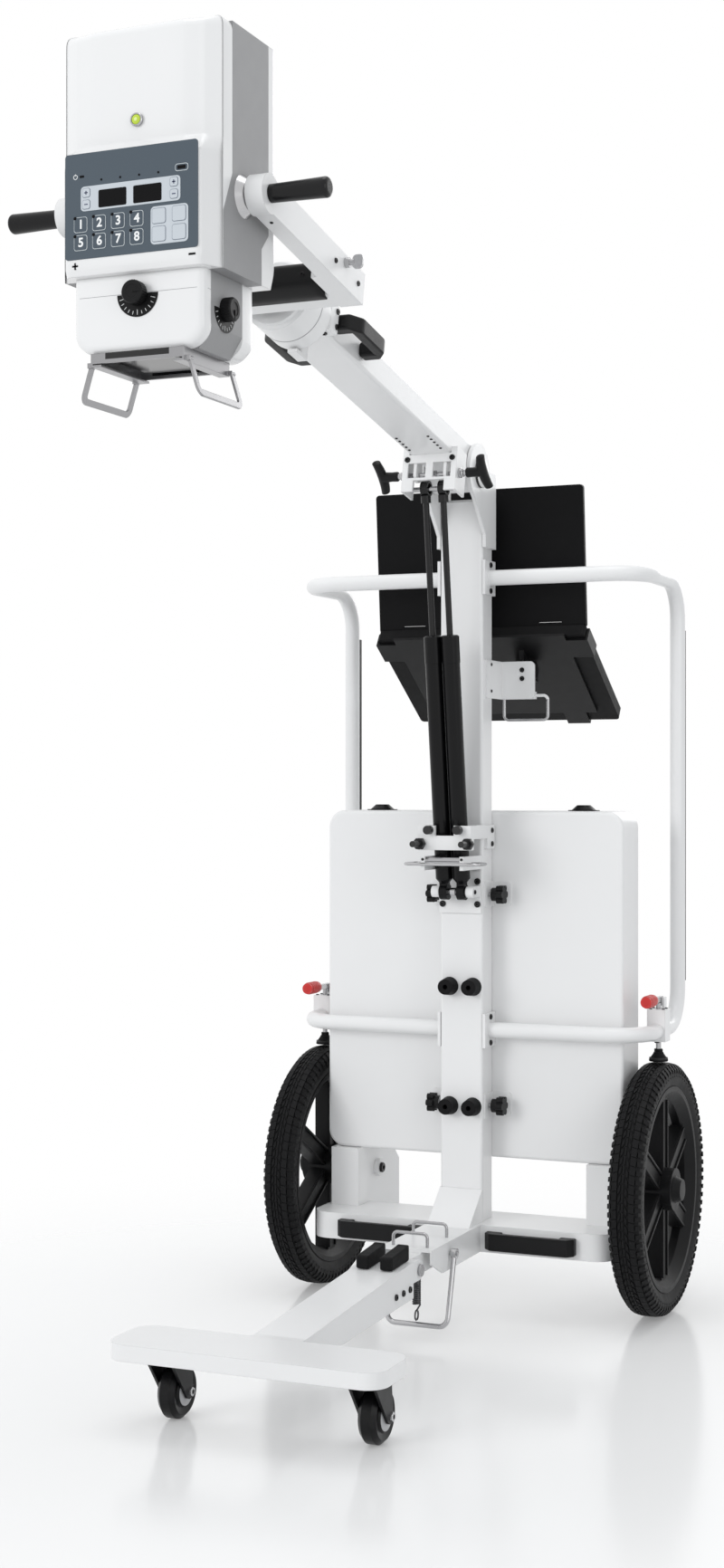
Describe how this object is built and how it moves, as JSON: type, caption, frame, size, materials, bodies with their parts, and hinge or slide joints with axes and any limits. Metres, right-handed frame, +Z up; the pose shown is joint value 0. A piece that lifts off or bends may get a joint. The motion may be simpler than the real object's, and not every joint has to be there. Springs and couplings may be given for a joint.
{
  "type": "portable x-ray machine",
  "caption": "Mobile x-ray stand with spoked wheels, folding front leg, gas-sprung boom, swivelling yoke, tilting head with collimator, and laptop tray.",
  "frame": {"origin": "on the floor under the middle of the machine, between the rear wheels' rear and the head's front", "axes": "+Z up, the front leg and head point towards -Y, the operator stands at +Y"},
  "size_m": [0.6718, 1.4104, 1.7473],
  "materials": {
    "black_gloss": "polished black",
    "black_plastic": "moulded black",
    "black_rubber": "matt rubber",
    "black_steel": "black paint",
    "bright_steel": "polished",
    "grey_shell": "fine grey texture",
    "laptop_black": "soft-touch black",
    "panel_film": "printed membrane film",
    "red_grip": "dipped red grip",
    "steel": "brushed stainless",
    "tyre": "treaded rubber",
    "white_alloy": "white powder-coated aluminium casting",
    "white_paint": "smooth white powder coat",
    "white_shell": "satin white moulding"
  },
  "bodies": {
    "frame": {"column": "white_paint", "base_beam": "white_paint", "base_tray": "white_paint", "tray_handles": "black_plastic", "wheel_posts": "white_paint", "case_shell": "white_paint", "case_clips": "white_paint", "hand_knobs": "black_plastic", "side_frames": "white_paint", "brake_bases": "white_paint", "column_head": "white_alloy", "strut_foot": "white_paint", "latch_plate": "white_paint", "cone_bumpers": "black_rubber", "laptop_bracket": "white_paint"},
    "boom": {"boom": "white_paint", "swivel_housing": "white_alloy", "boom_handles": "black_plastic", "strut_bracket": "white_paint"},
    "strut_cylinders": {"strut_cylinders": "black_steel"},
    "strut_rods": {"strut_rods": "steel"},
    "yoke": {"yoke": "white_alloy", "swivel_hub": "black_plastic", "yoke_pad": "black_plastic"},
    "yoke_screw": {"yoke_screw": "bright_steel"},
    "head": {"head_front": "white_shell", "head_middle": "grey_shell", "head_back": "white_shell", "control_panel": "panel_film", "trunnions": "bright_steel", "grips": "black_gloss", "collimator_covers": "white_shell", "collimator_body": "grey_shell", "collimator_rails": "steel"},
    "dial_front": {"collimator_knob_front": "black_plastic"},
    "dial_side": {"collimator_knob_side": "black_plastic"},
    "leg": {"leg": "white_paint", "leg_blocks": "black_rubber"},
    "foot_loop": {"foot_loop": "steel", "foot_spring": "steel"},
    "wire_bail": {"wire_bail": "steel"},
    "laptop": {"laptop_tray": "black_plastic", "laptop_base": "laptop_black"},
    "lid": {"laptop_lid": "laptop_black"},
    "wheel_left": {"tyre_left": "tyre", "rim_left": "black_plastic"},
    "caster_left": {"caster_fork_left": "black_steel"},
    "caster_roller_left": {"caster_wheel_left": "black_rubber"},
    "pull_knob_left": {"pull_knob_left": "black_plastic"},
    "guard_left": {"guard_left": "steel"},
    "brake_lever_left": {"brake_lever_left": "red_grip"},
    "brake_plunger_left": {"brake_plunger_left": "bright_steel"},
    "wheel_right": {"tyre_right": "tyre", "rim_right": "black_plastic"},
    "caster_right": {"caster_fork_right": "black_steel"},
    "caster_roller_right": {"caster_wheel_right": "black_rubber"},
    "pull_knob_right": {"pull_knob_right": "black_plastic"},
    "guard_right": {"guard_right": "steel"},
    "brake_lever_right": {"brake_lever_right": "red_grip"},
    "brake_plunger_right": {"brake_plunger_right": "bright_steel"}
  },
  "joints": [
    {"name": "wheel_left_spin", "type": "hinge", "parent": "frame", "child": "wheel_left", "pos_m": [-0.2944, 0.50215, 0.203], "axis": [1, 0, 0], "continuous": true},
    {"name": "caster_left_swivel", "type": "hinge", "parent": "leg", "child": "caster_left", "pos_m": [-0.1465, -0.34785, 0.1], "axis": [0, 0, 1], "continuous": true},
    {"name": "caster_left_roll", "type": "hinge", "parent": "caster_left", "child": "caster_roller_left", "pos_m": [-0.1465, -0.31725, 0.0375], "axis": [1, 0, 0], "continuous": true},
    {"name": "pull_knob_left_pull", "type": "slide", "parent": "boom", "child": "pull_knob_left", "axis": [-1, 0, 0], "range_m": [0, 0.008], "stiffness_N_per_m": 400, "springref_m": -0.005},
    {"name": "guard_left_fold", "type": "hinge", "parent": "head", "child": "guard_left", "pos_m": [-0.0653, -0.6202, 1.35132], "axis": [0, 1, 0], "range_deg": [0, 60]},
    {"name": "brake_lever_left_lift", "type": "hinge", "parent": "frame", "child": "brake_lever_left", "pos_m": [-0.296, 0.51815, 0.505], "axis": [-1, 0, 0], "range_deg": [0, 75]},
    {"name": "brake_plunger_left_press", "type": "slide", "parent": "frame", "child": "brake_plunger_left", "axis": [0, 0, -1], "range_m": [0, 0.0027], "stiffness_N_per_m": 60, "springref_m": -0.0125},
    {"name": "wheel_right_spin", "type": "hinge", "parent": "frame", "child": "wheel_right", "pos_m": [0.2944, 0.50215, 0.203], "axis": [1, 0, 0], "continuous": true},
    {"name": "caster_right_swivel", "type": "hinge", "parent": "leg", "child": "caster_right", "pos_m": [0.1465, -0.34785, 0.1], "axis": [0, 0, 1], "continuous": true},
    {"name": "caster_right_roll", "type": "hinge", "parent": "caster_right", "child": "caster_roller_right", "pos_m": [0.1465, -0.31725, 0.0375], "axis": [1, 0, 0], "continuous": true},
    {"name": "pull_knob_right_pull", "type": "slide", "parent": "boom", "child": "pull_knob_right", "axis": [1, 0, 0], "range_m": [0, 0.008], "stiffness_N_per_m": 400, "springref_m": -0.005},
    {"name": "guard_right_fold", "type": "hinge", "parent": "head", "child": "guard_right", "pos_m": [0.0653, -0.6202, 1.35132], "axis": [0, -1, 0], "range_deg": [0, 60]},
    {"name": "brake_lever_right_lift", "type": "hinge", "parent": "frame", "child": "brake_lever_right", "pos_m": [0.296, 0.51815, 0.505], "axis": [-1, 0, 0], "range_deg": [0, 75]},
    {"name": "brake_plunger_right_press", "type": "slide", "parent": "frame", "child": "brake_plunger_right", "axis": [0, 0, -1], "range_m": [0, 0.0027], "stiffness_N_per_m": 60, "springref_m": -0.0125},
    {"name": "leg_fold", "type": "hinge", "parent": "frame", "child": "leg", "pos_m": [0, 0.10515, 0.129], "axis": [-1, 0, 0], "range_deg": [0, 90]},
    {"name": "foot_loop_swing", "type": "hinge", "parent": "frame", "child": "foot_loop", "pos_m": [0, 0.22115, 0.132], "axis": [-1, 0, 0], "range_deg": [-15, 20], "stiffness_Nm_per_rad": 2, "springref_deg": -0.69, "deforming": ["foot_spring"]},
    {"name": "boom_lift", "type": "hinge", "parent": "frame", "child": "boom", "pos_m": [0, 0.35615, 1.356], "axis": [-1, 0, 0], "range_deg": [-30, 15]},
    {"name": "strut_tilt", "type": "hinge", "parent": "frame", "child": "strut_cylinders", "pos_m": [0, 0.34815, 0.684], "axis": [1, 0, 0], "range_deg": [-1.7, 0.9]},
    {"name": "strut_stroke", "type": "slide", "parent": "strut_cylinders", "child": "strut_rods", "axis": [0, -0.1338, 0.991], "range_m": [-0.048, 0.0243]},
    {"name": "yoke_swivel", "type": "hinge", "parent": "boom", "child": "yoke", "pos_m": [0, -0.32702, 1.50962], "axis": [0, -0.981, 0.1942], "range_deg": [-90, 90]},
    {"name": "yoke_screw_turn", "type": "hinge", "parent": "yoke", "child": "yoke_screw", "pos_m": [0.15, -0.40215, 1.51634], "axis": [1, 0, 0], "continuous": true},
    {"name": "head_tilt", "type": "hinge", "parent": "yoke", "child": "head", "pos_m": [0, -0.6202, 1.54932], "axis": [-1, 0, 0], "range_deg": [-30, 90]},
    {"name": "dial_front_turn", "type": "hinge", "parent": "head", "child": "dial_front", "pos_m": [0, -0.6962, 1.43032], "axis": [0, -1, 0], "range_deg": [-60, 60]},
    {"name": "dial_side_turn", "type": "hinge", "parent": "head", "child": "dial_side", "pos_m": [0.095, -0.63519, 1.41432], "axis": [1, 0, 0], "range_deg": [-60, 60]},
    {"name": "wire_bail_lift", "type": "hinge", "parent": "frame", "child": "wire_bail", "pos_m": [0, 0.33415, 0.73], "axis": [-1, 0, 0], "range_deg": [0, 25]},
    {"name": "laptop_tilt", "type": "hinge", "parent": "frame", "child": "laptop", "pos_m": [0.066, 0.50415, 1.046], "axis": [1, 0, 0], "range_deg": [-20, 2]},
    {"name": "laptop_lid_fold", "type": "hinge", "parent": "laptop", "child": "lid", "pos_m": [0, 0.48001, 1.11868], "axis": [-1, 0, 0], "range_deg": [-4, 127]}
  ],
  "couplings": [
    {"joint": "strut_tilt", "follows": "boom_lift", "ratio": 0.05445},
    {"joint": "strut_stroke", "follows": "boom_lift", "m_per_rad": 0.090874},
    {"joint": "brake_plunger_left_press", "follows": "brake_lever_left_lift", "m_per_rad": 0.001986},
    {"joint": "brake_plunger_right_press", "follows": "brake_lever_right_lift", "m_per_rad": 0.001986}
  ]
}
